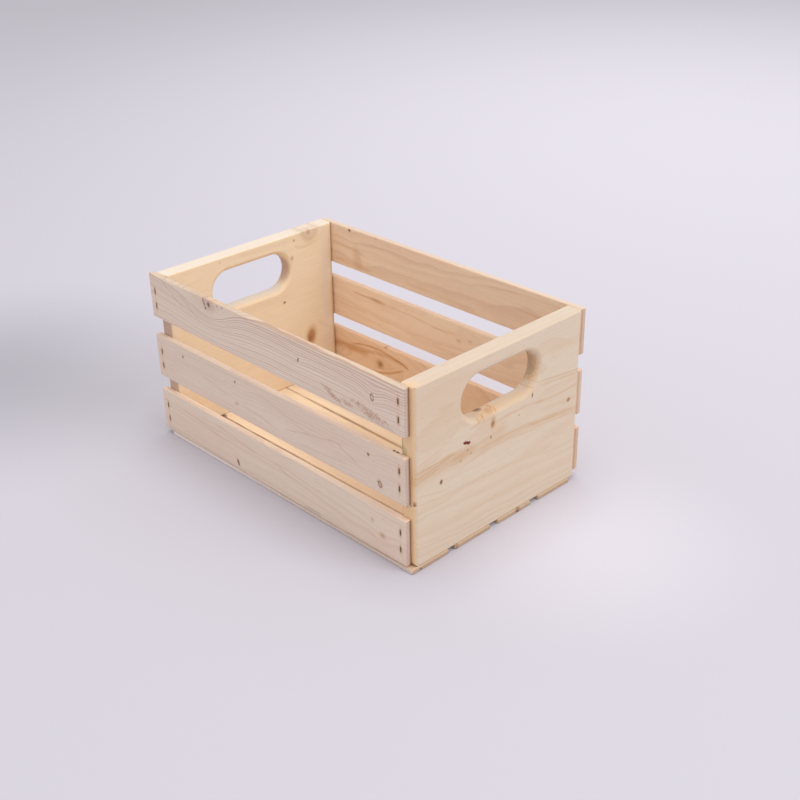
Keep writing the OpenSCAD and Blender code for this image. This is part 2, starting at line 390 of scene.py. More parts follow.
pineFinish = {
    "planed": {
        "Early": (0.80, 0.665, 0.50), "Late": (0.66, 0.42, 0.23), "Blush": (0.79, 0.62, 0.46),
        "Streak Wood": (0.60, 0.34, 0.16), "Ring Contrast": 0.2, "Blush Amount": 0.4, "Saw Marks": 0.0, "Nap": 0.15,
        "relief": 0.00012, "Cut Wood And Painted Light": (0.92, 0.76, 0.56), "Edge Wood And Painted Light": (0.89, 0.88, 0.90),
        "Arris Wood": (1.0, 0.95, 0.88),
    },
    "sawn": {
        "Early": (0.815, 0.672, 0.545), "Late": (0.54, 0.335, 0.255), "Blush": (0.79, 0.60, 0.48),
        "Streak Wood": (0.56, 0.34, 0.25), "Ring Contrast": 0.4, "Blush Amount": 0.5, "Saw Marks": 0.5, "Nap": 0.6,
        "relief": 0.00025, "Cut Wood And Painted Light": (0.72, 0.69, 0.70), "Edge Wood And Painted Light": (0.88, 0.85, 0.84),
        "Arris Wood": (1.0, 0.93, 0.83),
    },
}

# the floor slats' ends take a darker end-grain colour: painted shade where the lamp falls full on them
pineFinish["floor"] = {**pineFinish["sawn"], "Cut Wood And Painted Light": (0.62, 0.60, 0.64)}

noSeam = 1000.0   # mm: further off than any wood

# colours of local marks; some of them are painted shade and a painted highlight rather than marks of the wood
markColours = {
    "honey": (0.78, 0.51, 0.30), "rust": (0.50, 0.23, 0.10), "darkKnot": (0.16, 0.065, 0.04),
    "paleWoodAndHighlight": (0.82, 0.68, 0.58), "resin": (0.17, 0.014, 0.008), "paintedShadow": (0.53, 0.345, 0.205),
    "wallShade": (0.40, 0.29, 0.21), "mould": (0.33, 0.34, 0.20), "blackSpeck": (0.07, 0.055, 0.03),
    "pinkWood": (0.52, 0.34, 0.29), "tan": (0.66, 0.44, 0.26),
}


def figure(heartDepth, heartAcross, ringGap, wander, seed, slant=0.0, dive=0.0):
    # where the tree's heart lies from the plank's own zero, and how its rings run, in mm
    return {
        "Heart Depth": heartDepth, "Heart Across": heartAcross, "Ring Gap": ringGap, "Wander": wander, "Seed": seed,
        "Slant": slant, "Dive": dive,
    }


def pineMaterial(name, kind, finish, plank, knots=(), seamDepth=noSeam):
    # knots hold (along, across, half length, half width, turn, push, reach, core, rim, stain), in row-frame mm;
    # streaks (from along, from across, to along, to across, bulge, half width, strength);
    # torn patches (along, across, half length, half width, turn, strength);
    # smudges (x, y, z, half x, half y, half z, strength, colour of the mark)
    material = bpy.data.materials.new(name)
    material.use_nodes = True
    bench = Bench(material.node_tree)
    material.node_tree.nodes.clear()
    where = bench.add("ShaderNodeTexCoord").outputs
    at = bench.add("ShaderNodeMapping", {
        "Vector": where["Object"], "Scale": (1000, 1000, 1000), "Rotation": plankTurn[kind],
    }, vector_type="POINT").outputs[0]
    facing = bench.add("ShaderNodeMapping", {
        "Vector": where["Normal"], "Rotation": plankTurn[kind],
    }, vector_type="VECTOR").outputs[0]
    chain = {"Lift": 0.0, "Core": 0.0, "Rim": 0.0, "Stain": 0.0}
    flatAt = bench.stretch(at, (1, 0.3, 1))
    allKnots = (*plank.get("knots", ()), *knots)
    for along, across, halfLength, halfWidth, turn, push, reach, core, rim, stain in allKnots:
        chain = bench.use(knotGroup, **{
            "At": flatAt, "Centre": (along, 0, across), "Half Length": halfLength, "Half Width": halfWidth,
            "Turn": math.radians(turn), "Push": push, "Reach": reach, "Core": core, "Rim": rim, "Stain": stain,
            **{label + " Before": chain[label] for label in ("Lift", "Core", "Rim", "Stain")},
        })
    streak = torn = 0.0
    for fromAlong, fromAcross, toAlong, toAcross, bulge, halfWidth, strength in plank.get("streaks", ()):
        streak = bench.use(streakGroup, **{
            "At": flatAt, "From": (fromAlong, 0, fromAcross), "To": (toAlong, 0, toAcross), "Bulge": bulge,
            "Half Width": halfWidth, "Strength": strength, "Waver": plank.get("waver", 2.4), "Streak Before": streak,
        })["Streak"]
    for along, across, halfLength, halfWidth, turn, strength in plank.get("torn", ()):
        torn = bench.use(tornGroup, **{
            "At": flatAt, "Centre": (along, 0, across), "Half Length": halfLength, "Half Width": halfWidth,
            "Turn": math.radians(turn), "Strength": strength, "Torn Before": torn,
        })["Torn"]
    grain = bench.use(grainGroup, At=at, Lift=chain["Lift"], **plank["figure"])
    look = {**pineFinish[finish], **plank.get("look", {})}
    relief = look.pop("relief")
    for colour in ("Early", "Late", "Blush"):
        look[colour] = [c * t for c, t in zip(look[colour], plank.get("tone", (1, 1, 1)))]
    for label, value in look.items():
        look[label] = value if isinstance(value, float) else (*value, 1)
    tone = bench.use(toneGroup, **{
        "At": at, "Facing": facing, "Seam Depth": seamDepth, "Streak": streak, "Torn": torn,
        **{label: grain[label] for label in ("Latewood", "Bands", "Fibres", "Dashes")},
        **{label: chain[label] for label in ("Core", "Rim", "Stain")}, **look,
    })
    colour = tone["Color"]
    rowAt = bench.vec("SCALE", where["Object"], scale=1000.0)
    for x, y, z, halfX, halfY, halfZ, strength, mark in plank.get("smudges", ()):
        colour = bench.use(smudgeGroup, **{
            "Color": colour, "At": rowAt, "Centre": (x, y, z), "Half Size": (halfX, halfY, halfZ),
            "Mark": (*markColours[mark], 1), "Strength": strength,
        })["Color"]
    bump = bench.add("ShaderNodeBump", {"Strength": 1.0, "Distance": relief, "Height": tone["Height"]})
    shader = bench.add("ShaderNodeBsdfPrincipled", {
        "Base Color": colour, "Roughness": tone["Roughness"], "Specular IOR Level": 0.3,
        "Normal": bump.outputs["Normal"],
    })
    bench.add("ShaderNodeOutputMaterial", {"Surface": shader.outputs[0]})
    return material


# sawn slats

def makeSlatTree():
    # a box with eased, slightly torn edges, a little bow, and a well for each staple's crown
    takes = {
        "Low Corner": (0, 0, 0), "High Corner": (0, 0, 0), "Cells": (140, 6, 22), "Arris": 0.0009,
        "Torn Edge": 0.0005, "Unevenness": 0.0002, "Bow": (0, 0, 0), "Seed": 0.0, "Well Size": (0, 0, 0),
        "Well 1": (0, 0, 0), "Well 2": (0, 0, 0), "Well 3": (0, 0, 0), "Well 4": (0, 0, 0), "Wood": "Material",
    }
    tree, bench, given, out = newTree("sawnSlat", "GeometryNodeTree", takes, [("Geometry", "Geometry")])
    size = bench.vec("SUBTRACT", given["High Corner"], given["Low Corner"])
    centre = bench.vec("SCALE", bench.vec("ADD", given["High Corner"], given["Low Corner"]), scale=0.5)
    arris = bench.gather(given["Arris"], given["Arris"], given["Arris"])
    inner = bench.vec("SUBTRACT", bench.vec("SCALE", size, scale=0.5), arris)
    cube = bench.add("GeometryNodeMeshCube", {"Size": (2, 2, 2), **{
        "Vertices " + axis: bench.plus(amount, 1.0) for axis, amount in zip("XYZ", bench.split(given["Cells"]))
    }})
    point = bench.add("GeometryNodeInputPosition").outputs[0]
    reachOut, sign = bench.vec("ABSOLUTE", point), bench.vec("SIGN", point)
    kink = bench.vec("SUBTRACT", (1, 1, 1), bench.vec("DIVIDE", (4, 4, 4), given["Cells"]))
    flat = bench.vec("MULTIPLY", bench.vec("DIVIDE", bench.vec("MINIMUM", reachOut, kink), kink), inner)
    over = bench.vec("MAXIMUM", bench.vec("SUBTRACT", reachOut, kink), (0, 0, 0))
    edge = bench.vec("MULTIPLY", bench.vec("DIVIDE", over, bench.vec("SUBTRACT", (1, 1, 1), kink)), arris)
    boxed = bench.vec("MULTIPLY", sign, bench.vec("ADD", flat, edge))
    low = bench.vec("SCALE", inner, scale=-1.0)
    core = bench.vec("MINIMUM", bench.vec("MAXIMUM", boxed, low), inner)
    away = bench.vec("SUBTRACT", boxed, core)
    outward = bench.vec("NORMALIZE", away)
    onEdge = bench.ramp(bench.over(bench.vec("LENGTH", away), given["Arris"]), 1.02, 1.35)
    seeded = bench.vec("SCALE", bench.vec("ADD", boxed, centre), scale=1000.0)
    tear = bench.noise(bench.stretch(seeded, (0.09, 0.3, 0.3)), detail=3.0, roughness=0.7, seed=given["Seed"])
    swell = bench.noise(bench.stretch(seeded, (0.012, 0.08, 0.06)), detail=2.0, seed=given["Seed"])
    torn = bench.times(bench.times(onEdge, bench.ramp(tear, 0.42, 0.75)), given["Torn Edge"])
    swollen = bench.times(bench.minus(swell, 0.5), given["Unevenness"])
    reach = bench.plus(bench.minus(given["Arris"], torn), swollen)
    rounded = bench.vec("ADD", core, bench.vec("SCALE", outward, scale=reach))
    along = bench.split(point)[0]
    middle = bench.minus(1.0, bench.times(along, along))
    bowed = bench.vec("ADD", rounded, bench.vec("SCALE", given["Bow"], scale=middle))
    moved = bench.add("GeometryNodeSetPosition", {
        "Geometry": cube.outputs["Mesh"], "Position": bench.vec("ADD", bowed, centre),
    }).outputs[0]
    cut = bench.add("GeometryNodeMeshBoolean", {"Mesh 1": moved}, operation="DIFFERENCE", solver="EXACT")
    cutter = bench.add("GeometryNodeMeshCube", {"Size": given["Well Size"]}).outputs["Mesh"]
    for index in (1, 2, 3, 4):
        well = bench.add("GeometryNodeTransform", {"Geometry": cutter, "Translation": given[f"Well {index}"]})
        tree.links.new(well.outputs[0], cut.inputs["Mesh 2"])
    bench.feed(out["Geometry"], finishMesh(bench, cut.outputs["Mesh"], given["Wood"], 38))
    return tree


def finishMesh(bench, mesh, material, sharpAngle):
    # smooth faces with the sharper edges kept, then real geometry with its material
    smooth = bench.add("GeometryNodeSetShadeSmooth", {"Geometry": mesh}, domain="FACE").outputs[0]
    angle = bench.add("GeometryNodeInputMeshEdgeAngle").outputs["Unsigned Angle"]
    sharp = bench.add("FunctionNodeCompare", {
        "A": angle, "B": math.radians(sharpAngle),
    }, data_type="FLOAT", operation="GREATER_THAN").outputs[0]
    kept = bench.add("GeometryNodeSetShadeSmooth", {
        "Geometry": smooth, "Selection": sharp, "Shade Smooth": False,
    }, domain="EDGE").outputs[0]
    real = bench.add("GeometryNodeRealizeInstances", {"Geometry": kept}).outputs[0]
    return bench.add("GeometryNodeSetMaterial", {"Geometry": real, "Material": material}).outputs[0]


def makeStapleTree():
    # a wire staple on each point, turned by the point's own drive and crown directions
    takes = {
        "Geometry": "Geometry", "Crown": 0.006, "Wire Width": 0.0012, "Wire Thickness": 0.001, "Leg": 0.016,
        "Bend": 0.0007, "Tilt": 0.05, "Seed": 7, "Steel": "Material",
    }
    tree, bench, given, out = newTree("wireStaples", "GeometryNodeTree", takes, [("Geometry", "Geometry")])
    line = bench.add("GeometryNodeMeshLine", {"Count": 4}, mode="OFFSET").outputs[0]
    index = bench.add("GeometryNodeInputIndex").outputs[0]
    side = bench.calc("SIGN", bench.minus(index, 1.5))
    halfCrown = bench.times(bench.minus(given["Crown"], given["Wire Thickness"]), 0.5)
    isTip = bench.calc("GREATER_THAN", bench.calc("ABSOLUTE", bench.minus(index, 1.5)), 1.0)
    middleOfWire = bench.times(given["Wire Thickness"], 0.5)
    legEnd = bench.timesPlus(isTip, given["Leg"], middleOfWire)
    shape = bench.add("GeometryNodeSetPosition", {
        "Geometry": line, "Position": bench.gather(bench.times(side, halfCrown), 0.0, legEnd),
    }).outputs[0]
    path = bench.add("GeometryNodeMeshToCurve", {"Mesh": shape}).outputs[0]
    bent = bench.add("GeometryNodeFilletCurve", {
        "Curve": path, "Radius": given["Bend"], "Limit Radius": True, "Count": 4,
    }, mode="POLY").outputs[0]
    section = bench.add("GeometryNodeCurvePrimitiveQuadrilateral", {
        "Width": given["Wire Width"], "Height": given["Wire Thickness"],
    }).outputs[0]
    wire = bench.add("GeometryNodeCurveToMesh", {
        "Curve": bent, "Profile Curve": section, "Fill Caps": True,
    }).outputs[0]
    drive, crown = (
        bench.add("GeometryNodeInputNamedAttribute", {"Name": label}, data_type="FLOAT_VECTOR").outputs["Attribute"]
        for label in ("drive", "crown")
    )
    face = bench.add("FunctionNodeAlignRotationToVector", {"Vector": drive}, axis="Z", pivot_axis="AUTO").outputs[0]
    turn = bench.add("FunctionNodeAlignRotationToVector", {
        "Rotation": face, "Vector": crown,
    }, axis="X", pivot_axis="Z").outputs[0]
    lean = bench.add("FunctionNodeRandomValue", {
        "Min": bench.gather(0, 0, bench.times(given["Tilt"], -1.0)), "Max": bench.gather(0, 0, given["Tilt"]),
        "Seed": given["Seed"],
    }, data_type="FLOAT_VECTOR").outputs["Value"]
    leaning = bench.add("FunctionNodeEulerToRotation", {"Euler": lean}).outputs[0]
    both = bench.add("FunctionNodeRotateRotation", {
        "Rotation": turn, "Rotate By": leaning,
    }, rotation_space="LOCAL").outputs[0]
    staples = bench.add("GeometryNodeInstanceOnPoints", {
        "Points": given["Geometry"], "Instance": wire, "Rotation": both,
    }).outputs[0]
    real = bench.add("GeometryNodeRealizeInstances", {"Geometry": staples}).outputs[0]
    bench.feed(out["Geometry"], finishMesh(bench, real, given["Steel"], 40))
    return tree


def runTree(name, tree, values, baseMesh=None):
    # runs a tree once on a scratch object and returns its result as a plain mesh object
    scratch = bpy.data.objects.new(name + "Scratch", baseMesh or bpy.data.meshes.new(name + "Base"))
    bpy.context.scene.collection.objects.link(scratch)
    modifier = scratch.modifiers.new("build", "NODES")
    modifier.node_group = tree
    sockets = {item.name: item.identifier for item in tree.interface.items_tree if item.in_out == "INPUT"}
    for label, value in values.items():
        modifier[sockets[label]] = value
    graph = bpy.context.evaluated_depsgraph_get()
    mesh = bpy.data.meshes.new_from_object(scratch.evaluated_get(graph))
    bpy.data.objects.remove(scratch)
    piece = bpy.data.objects.new(name, mesh)
    mesh.name = name
    bpy.context.scene.collection.objects.link(piece)
    return piece


def looseBoxes(node):
    # the lowest and highest corner of each separate solid in a CAD node
    work = bmesh.new()
    work.from_mesh(node.data)
    bmesh.ops.remove_doubles(work, verts=work.verts, dist=1e-6)
    seen, boxes = set(), []
    for start in work.verts:
        if start in seen:
            continue
        seen.add(start)
        island, waiting = [], [start]
        while waiting:
            vertex = waiting.pop()
            island.append(vertex.co.copy())
            for edge in vertex.link_edges:
                other = edge.other_vert(vertex)
                if other not in seen:
                    seen.add(other)
                    waiting.append(other)
        boxes.append((
            Vector([min(p[i] for p in island) for i in range(3)]),
            Vector([max(p[i] for p in island) for i in range(3)]),
        ))
    work.free()
    return boxes


def middleOf(box):
    return (box[0] + box[1]) / 2


sideStapleBoxes = looseBoxes(nodes["side_staples"])
floorStapleBoxes = looseBoxes(nodes["floor_staples"])
print("staples found:", len(sideStapleBoxes), "side and", len(floorStapleBoxes), "floor")

slatShape = {
    "arris": 0.9 * mm, "torn": 0.45 * mm, "uneven": 0.35 * mm,
    "sink": 0.6 * mm, "wire": 1.0 * mm, "fit": 0.08 * mm,
    "cells": (140, 22, 6),   # of the mesh, along, across and through
    "bruise": (1.3, 3.7, 0, 0, 5, 0.5, 0.3, 0.45),   # the wood that each crown crushed, as a knot's last eight values
}

# per slat: the figure of its wood, what its finish looks like, then its knots, marks, streaks and torn patches, as
# pineMaterial lists them; tone multiplies its colours, waver is how far its streaks wander, in mm, and bow is how far
# its middle stands off, in metres
sideSlats = {
    "front_slat_top": {
        "figure": figure(-150.0, 60.0, 2.7, 2.2, 3.0, slant=-0.01),
        # its edge colour darkens its top edge: painted shade where the lamp above falls full on it
        "tone": (1.07, 1.08, 1.11), "look": {"Ring Contrast": 0.74, "Edge Wood And Painted Light": (0.76, 0.72, 0.65)},
        "knots": [
            (-106, 200, 10, 10, 0, 15, 44, 0, 0, 0.1), (-94, 201, 5, 5, 0, 21, 20, 0, 0, 0.1),
            (49.5, 180.2, 0.9, 2.3, -15, 1.5, 8, 0.9, 0.6, 0.15), (155.6, 177.4, 2.1, 3.4, 12, 6, 12, 0.08, 0.7, 0),
        ],
        "smudges": [
            (-95, -128, 196, 13, 5, 9, 0.4, "pinkWood"), (-95.2, -128, 195.8, 2.8, 3, 3.6, 0.85, "darkKnot"),
            (-104.6, -128, 198.5, 1.9, 3, 3.2, 0.6, "darkKnot"), (-102.9, -128, 194.6, 1.5, 3, 3, 0.65, "darkKnot"),
            (-101.2, -128, 190.4, 1.7, 3, 2.8, 0.7, "darkKnot"), (-80, -128, 198.6, 1.5, 3, 2.4, 0.45, "darkKnot"),
            (-71.5, -128, 199, 2, 3, 2, 0.35, "darkKnot"), (-86, -126, 201.5, 14, 5, 3, 0.35, "honey"),
        ],
        "streaks": [
            (-181, 199, -141, 177, -1.5, 1.1, 0.55), (-150, 194, -115, 171, -1, 0.9, 0.6),
            (-134, 197, -108, 180, 0, 0.8, 0.35), (-158, 197, -128, 183, 0, 0.8, 0.3),
            (14, 199, 124, 194.5, -2, 1.1, 0.4), (118, 196, 150, 188, -1, 1.1, 0.4),
            (147, 188.5, 195, 196.5, -1, 1, 0.35), (-60, 199.5, 40, 190, 1, 1, 0.4),
        ],
        "torn": [
            (98, 160, 20, 3.4, -25, 0.8), (152, 159, 31, 6, -11, 0.75), (122, 158, 14, 3.6, -8, 0.6),
        ],
    },
    "front_slat_middle": {
        "figure": figure(-120.0, 92.0, 4.2, 3.0, 11.0, slant=0.02),
        # its edge colour lightens its top edge: painted light where the slat above shades it
        "tone": (1.02, 1.01, 1.03), "look": {"Ring Contrast": 0.2, "Edge Wood And Painted Light": (1.0, 0.97, 0.93)},
        "knots": [
            (-154.6, 114.9, 1, 1.5, 0, 1.5, 7, 0.9, 0.7, 0.15), (-59.7, 117.2, 1, 1.4, 0, 1.5, 7, 0.9, 0.7, 0.15),
            (-58.8, 91.9, 2.2, 1.5, 10, 3, 12, 0.18, 0.1, 0.25),
            (148.2, 113.2, 1.6, 1.6, 0, 2.5, 9, 0.85, 0.5, 0.15), (163.8, 86.3, 2.3, 3.4, 12, 3, 10, 0.3, 0.7, 0.2),
        ],
        "smudges": [
            (179, -122.8, 127.3, 2.2, 2.2, 1.6, 0.95, "blackSpeck"),
            (184, -122.8, 127.3, 2.6, 2.2, 1.6, 0.95, "blackSpeck"), (188, -121.8, 127, 3.5, 2, 2, 0.5, "mould"),
            (160.7, -128, 88.4, 1.6, 3, 1.6, 0.4, "darkKnot"),
        ],
        "streaks": [
            (18, 90, 96, 107, 1, 1.3, 0.4), (88, 104.5, 110, 107, 1, 2, 0.3), (104, 107, 133, 97, -1, 1.4, 0.45),
            (-56, 93, 14, 84, 2, 1.6, 0.25), (-120, 104, -70, 96, 0, 2.2, 0.2), (-20, 118, 70, 98, 0, 3, 0.16),
            (40, 82, 120, 90, 0, 3, 0.16),
        ],
        "bow": (0, -0.0004, 0.0),
    },
    "front_slat_bottom": {
        "figure": figure(-140.0, 20.0, 4.6, 3.4, 23.0, slant=-0.02),
        # its edge colour lightens its top edge: painted light where the slat above shades it
        "tone": (1.05, 1.04, 1.05), "look": {"Ring Contrast": 0.2, "Edge Wood And Painted Light": (1.1, 1.06, 1.02)},
        "knots": [
            (-66.6, 15.1, 1.3, 3.4, 18, 4, 14, 1, 0.8, 0.25), (2.4, 61.6, 4.6, 2.2, 0, 6, 12, 0, 0, 0.2),
            (165.3, 27.7, 2.6, 2.2, 0, 4, 11, 0.22, 0.1, 0.4), (150.9, 39.6, 1.6, 2.2, 0, 3, 9, 0.14, 0.1, 0.2),
        ],
        "smudges": [
            (2.4, -126.8, 61.2, 5.2, 3, 2.6, 0.45, "rust"), (4.6, -128.2, 59.8, 2.6, 1.6, 1, 0.5, "darkKnot"),
            (60, -128, 9, 16, 3, 2, 0.3, "mould"),
        ],
        "streaks": [
            (-3, 42, 26, 33.5, 0, 1.5, 0.4), (-170, 44, -90, 34, 1, 2.6, 0.25), (-110, 50, -30, 40, 0, 3.4, 0.2),
            (20, 20, 110, 14, 2, 3, 0.16), (60, 48, 150, 40, 0, 3, 0.14),
        ],
        "bow": (0, 0.0, -0.0006),
    },
    "back_slat_top": {
        "figure": figure(260.0, 150.0, 3.2, 2.2, 37.0, slant=0.015),
        # its raised tone is partly warmer wood and partly painted light on the inside of the crate
        "tone": (1.11, 1.05, 0.97),
        "look": {"Ring Contrast": 0.26, "Streak Wood": (0.62, 0.33, 0.15),
            "Edge Wood And Painted Light": (0.80, 0.82, 0.88), "Seam": 0.3},
        "knots": [
            (-149.5, 198.6, 2, 1.5, 0, 3, 10, 0.85, 0.6, 0.3), (-103.2, 199.8, 1.3, 0.8, 0, 1, 6, 0.3, 0.2, 0.1),
            (-136.5, 163.3, 4, 9, 10, 6, 18, 0, 0, 0.3),
        ],
        "streaks": [
            (-185, 178, -120, 172, 1, 3.5, 0.3), (-185, 157, -110, 155, 0, 5, 0.35),
            (-120, 187, -60, 190, 1, 1.5, 0.25), (70, 189, 120, 193, 1, 1.3, 0.35), (-60, 158, 60, 155, 0, 5, 0.25),
            (110, 176, 180, 172, 1, 2, 0.3),
        ],
    },
    "back_slat_middle": {
        "figure": figure(230.0, 130.0, 4.0, 2.6, 41.0, slant=0.02),
        # its raised tone is partly warmer wood and partly painted light on the inside of the crate
        "tone": (1.18, 1.13, 1.05),
        "look": {"Ring Contrast": 0.26, "Streak Wood": (0.62, 0.33, 0.15),
            "Edge Wood And Painted Light": (0.92, 0.85, 0.84), "Seam": 0.3},
        "knots": [
            (-104, 119.6, 7, 1.6, -4, 3, 12, 0.12, 0, 0.5), (31.7, 109.9, 2.4, 1.8, 0, 3.5, 9, 0, 0, 0.1),
            (49.3, 114.6, 2, 1.3, 0, 2.5, 8, 0, 0, 0.1),
        ],
        "streaks": [
            (-149, 119.5, -92, 119, 0, 1.6, 0.7), (-96, 119, 20, 112, 2, 1.3, 0.4),
            (-185, 100, -120, 98, 0, 4, 0.25), (-60, 92, 60, 90, 0, 5, 0.2), (-14, 113, 26, 116.5, 0, 1.2, 0.4),
        ],
        "smudges": [
            (31.7, 121, 109.9, 4.5, 3, 2.6, 0.25, "rust"), (49.3, 121, 114.6, 4, 3, 2.2, 0.22, "rust"),
            (-96, 121, 119, 9, 3, 4, 0.25, "honey"),
        ],
        "bow": (0, 0.0004, 0.0),
    },
    "back_slat_bottom": {
        "figure": figure(175.0, 36.0, 4.2, 2.0, 53.0, slant=0.01, dive=0.2),
        # its raised tone is partly warmer wood and partly painted light on the inside of the crate
        "tone": (1.13, 1.04, 0.92),
        "look": {"Ring Contrast": 0.26, "Streak Wood": (0.62, 0.31, 0.12),
            "Edge Wood And Painted Light": (0.95, 0.87, 0.84), "Seam": 0.3},
        "knots": [
            (-101, 35.2, 3.4, 3.2, 0, 4, 18, 0.6, 0.3, 0.75), (-90.4, 61.8, 2.4, 1.3, 0, 2, 9, 0.08, 0.1, 0.1),
        ],
        "streaks": [
            (-205, 38, -118, 43, 1, 8.5, 0.85), (-140, 42, -58, 49, 4, 4.5, 0.6), (-76, 50, -50, 44, 2, 3, 0.9),
            (-116, 21, -58, 41, -3, 3, 0.85), (-116, 28, -68, 42, -3, 1.3, 0.4), (60, 30, 180, 36, 2, 5, 0.3),
            (-156, 46, -55, 45, 9, 2.6, 0.85),
        ],
        "smudges": [
            (-101, 121, 35.2, 9, 4, 7, 0.4, "rust"), (-101, 121, 35.2, 3, 4, 2.8, 0.6, "darkKnot"),
            (-90.4, 121.5, 61.6, 3.4, 3, 1.7, 0.45, "rust"), (-100, 121, 36, 34, 4, 9, 0.3, "honey")],
    },
}

# each floor slat's broad dark patch towards the near end is painted shadow, where the near end board shades the floor
# behind it
floorSlats = {
    "floor_slat_1": {
        "figure": figure(110.0, -100.0, 3.4, 2.4, 61.0),
        "tone": (1.07, 1.02, 0.9),
        # its front edge is paler sawn wood, made paler still as painted light where the crate shades it
        "look": {"Edge Wood And Painted Light": (1.1, 1.27, 1.7), "Arris Wood": (1.0, 1.02, 1.1)},
        "smudges": [(140, -100, 4, 260, 60, 9, 0.5, "paintedShadow"), (205.5, -116, 2, 2, 2.2, 1.6, 0.7, "darkKnot")],
    },
    "floor_slat_2": {
        "figure": figure(120.0, -30.0, 3.8, 2.6, 67.0),
        "tone": (1.08, 1.04, 0.92), "waver": 0.5,
        "look": {"Streak Wood": (0.24, 0.11, 0.045)},
        "knots": [(-30, -38, 3, 3, 0, 5, 18, 0.5, 0.4, 0.5)],
        "streaks": [(-300, -64.9, 300, -64.2, 0, 2.6, 0.95)],   # painted shade: the shadowed gap in front of this slat, as a dark line
        "smudges": [(140, -40, 4, 260, 60, 9, 0.5, "paintedShadow"), (-181, -63, 5, 6, 3.5, 3, 0.8, "darkKnot")],
    },
    "floor_slat_3": {
        "figure": figure(-110.0, 25.0, 3.2, 2.4, 71.0),
        "tone": (1.08, 1.06, 0.94), "waver": 0.4,
        "look": {"Streak Wood": (0.26, 0.12, 0.045)},
        "streaks": [   # a long dark line, wider towards the near end
            (-300, 38.5, 300, 26, 0, 2.4, 0.7), (-140, 35.2, 330, 25.4, 0, 3.8, 0.95),
            (60, 31.4, 330, 25.4, 0, 5.4, 0.95),
        ],
        "smudges": [(140, 20, 4, 260, 60, 9, 0.5, "paintedShadow"), (205.5, 26.5, 2.6, 2, 1.9, 1.4, 0.9, "darkKnot")],
    },
    "floor_slat_4": {
        "figure": figure(105.0, 88.0, 3.6, 2.6, 79.0),
        "tone": (1.08, 1.05, 0.94),
        "smudges": [(140, 90, 4, 260, 60, 9, 0.5, "paintedShadow")],
        "knots": [(90, 84, 3.5, 3, 0, 6, 18, 0.4, 0.3, 0.5)],
    },
}


def buildSlats():
    slatTree = makeSlatTree()
    shape = slatShape
    for name, slat in {**sideSlats, **floorSlats}.items():
        isFloor = name in floorSlats
        low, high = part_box(name)
        along, wide, thick = shape["cells"]
        if isFloor:
            cells, seamDepth = (along, wide, thick), noSeam
            mine = [box for box in floorStapleBoxes if low.y < middleOf(box).y < high.y]
            wells = [Vector((middleOf(box).x, middleOf(box).y, low.z)) for box in mine]
        else:
            cells, isFront = (along, thick, wide), low.y < 0
            outer, seamDepth = (low.y, high.y / mm) if isFront else (high.y, low.y / mm)
            mine = [box for box in sideStapleBoxes
                    if (middleOf(box).y < 0) == isFront and low.z < middleOf(box).z < high.z]
            wells = [Vector((middleOf(box).x, outer, middleOf(box).z)) for box in mine]
        wellSize = mine[0][1] - mine[0][0] + 2 * shape["fit"] * Vector((1, 1, 1))
        wellSize[2 if isFloor else 1] = 2 * (shape["sink"] + shape["wire"])
        bruises = [(well.x / mm, (well.y if isFloor else well.z) / mm, *shape["bruise"]) for well in wells]
        kind, finish = ("floor", "floor") if isFloor else ("side", "sawn")
        material = pineMaterial("pine_" + name, kind, finish, slat, bruises, seamDepth)
        values = {
            "Low Corner": low, "High Corner": high, "Cells": cells, "Arris": shape["arris"], "Torn Edge": shape["torn"],
            "Unevenness": shape["uneven"], "Bow": slat.get("bow", (0, 0, 0)), "Seed": slat["figure"]["Seed"],
            "Well Size": wellSize, "Wood": material,
        }
        for index, well in enumerate(wells):
            values[f"Well {index + 1}"] = well
        piece = runTree(name + "_sawn", slatTree, values)
        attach(piece, "root")
        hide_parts(name)
        print("slat", name, len(piece.data.polygons), "faces,", len(wells), "wells")


buildSlats()


